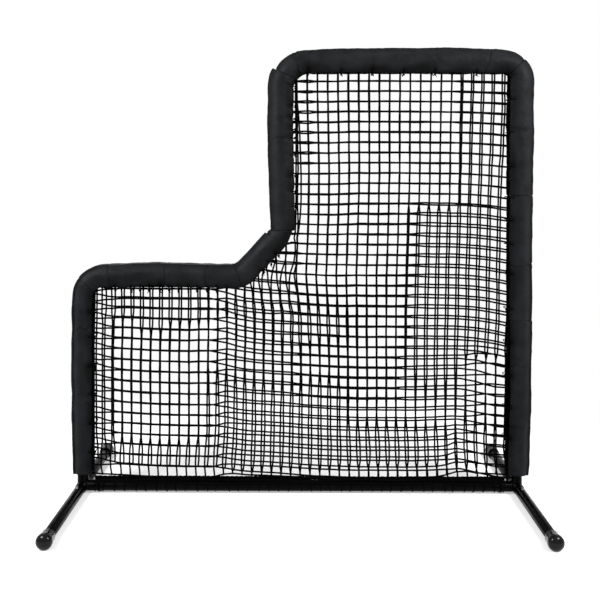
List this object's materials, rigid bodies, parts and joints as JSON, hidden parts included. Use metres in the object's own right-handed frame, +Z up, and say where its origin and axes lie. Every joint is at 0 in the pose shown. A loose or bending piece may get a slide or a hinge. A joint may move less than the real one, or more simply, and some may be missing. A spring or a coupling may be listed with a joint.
{
  "type": "baseball l screen",
  "caption": "L-shaped padded pitching screen: steel tube frame with a throwing notch, two net layers, pull-off half legs with snap buttons",
  "frame": {"origin": "centre of the screen's footprint on the floor, midway between the noses of the front and rear end caps", "axes": "+X along the bottom rail from the low side to the tall side, +Y from the front to the rear, +Z up"},
  "size_m": [2.1362, 1.245, 2.0631],
  "materials": {
    "frame_tube": "gloss black powder coat",
    "joint_sleeve": "zinc plated steel",
    "pad_cover": "matte black coated nylon over closed-cell foam",
    "net_cord": "black knotted polyethylene cord",
    "leg_cap": "glossy black moulded vinyl",
    "snap_button": "zinc plated steel",
    "button_spring": "blued spring steel"
  },
  "bodies": {
    "frame": {"left_upright": "frame_tube", "low_rail": "frame_tube", "notch_brace": "frame_tube", "inner_upright": "frame_tube", "top_rail": "frame_tube", "right_upright_upper": "frame_tube", "right_upright_lower": "frame_tube", "bottom_rail": "frame_tube", "low_corner_joint_sleeve": "joint_sleeve", "brace_foot_joint_sleeve": "joint_sleeve", "brace_head_joint_sleeve": "joint_sleeve", "top_left_joint_sleeve": "joint_sleeve", "top_right_joint_sleeve": "joint_sleeve", "right_joint_sleeve": "joint_sleeve", "left_corner_fitting": "frame_tube", "right_corner_fitting": "frame_tube", "left_upright_pad": "pad_cover", "low_rail_outer_pad": "pad_cover", "low_rail_inner_pad": "pad_cover", "notch_brace_pad": "pad_cover", "inner_upright_pad": "pad_cover", "top_rail_pad": "pad_cover", "right_upper_pad": "pad_cover", "right_middle_pad": "pad_cover", "right_lower_pad": "pad_cover", "front_net": "net_cord", "rear_net": "net_cord", "hem_rope": "net_cord", "left_rail_tie": "net_cord", "right_rail_tie": "net_cord", "left_front_button_spring": "button_spring", "left_rear_button_spring": "button_spring", "right_front_button_spring": "button_spring", "right_rear_button_spring": "button_spring"},
    "left_front_leg_body": {"left_front_leg": "frame_tube", "left_front_leg_cap": "leg_cap"},
    "left_front_button_body": {"left_front_snap_button": "snap_button"},
    "left_rear_leg_body": {"left_rear_leg": "frame_tube", "left_rear_leg_cap": "leg_cap"},
    "left_rear_button_body": {"left_rear_snap_button": "snap_button"},
    "right_front_leg_body": {"right_front_leg": "frame_tube", "right_front_leg_cap": "leg_cap"},
    "right_front_button_body": {"right_front_snap_button": "snap_button"},
    "right_rear_leg_body": {"right_rear_leg": "frame_tube", "right_rear_leg_cap": "leg_cap"},
    "right_rear_button_body": {"right_rear_snap_button": "snap_button"}
  },
  "joints": [
    {"name": "left_front_leg_slide", "type": "slide", "parent": "frame", "child": "left_front_leg_body", "axis": [0, -1, 0], "range_m": [0, 0.14], "deforming": ["left_front_snap_button"]},
    {"name": "left_front_button_press", "type": "slide", "parent": "frame", "child": "left_front_button_body", "axis": [0, 0, -1], "range_m": [0, 0.0068], "stiffness_N_per_m": 800, "springref_m": -0.004, "deforming": ["left_front_button_spring"]},
    {"name": "left_rear_leg_slide", "type": "slide", "parent": "frame", "child": "left_rear_leg_body", "axis": [0, 1, 0], "range_m": [0, 0.14], "deforming": ["left_rear_snap_button"]},
    {"name": "left_rear_button_press", "type": "slide", "parent": "frame", "child": "left_rear_button_body", "axis": [0, 0, -1], "range_m": [0, 0.0068], "stiffness_N_per_m": 800, "springref_m": -0.004, "deforming": ["left_rear_button_spring"]},
    {"name": "right_front_leg_slide", "type": "slide", "parent": "frame", "child": "right_front_leg_body", "axis": [0, -1, 0], "range_m": [0, 0.14], "deforming": ["right_front_snap_button"]},
    {"name": "right_front_button_press", "type": "slide", "parent": "frame", "child": "right_front_button_body", "axis": [0, 0, -1], "range_m": [0, 0.0068], "stiffness_N_per_m": 800, "springref_m": -0.004, "deforming": ["right_front_button_spring"]},
    {"name": "right_rear_leg_slide", "type": "slide", "parent": "frame", "child": "right_rear_leg_body", "axis": [0, 1, 0], "range_m": [0, 0.14], "deforming": ["right_rear_snap_button"]},
    {"name": "right_rear_button_press", "type": "slide", "parent": "frame", "child": "right_rear_button_body", "axis": [0, 0, -1], "range_m": [0, 0.0068], "stiffness_N_per_m": 800, "springref_m": -0.004, "deforming": ["right_rear_button_spring"]}
  ]
}
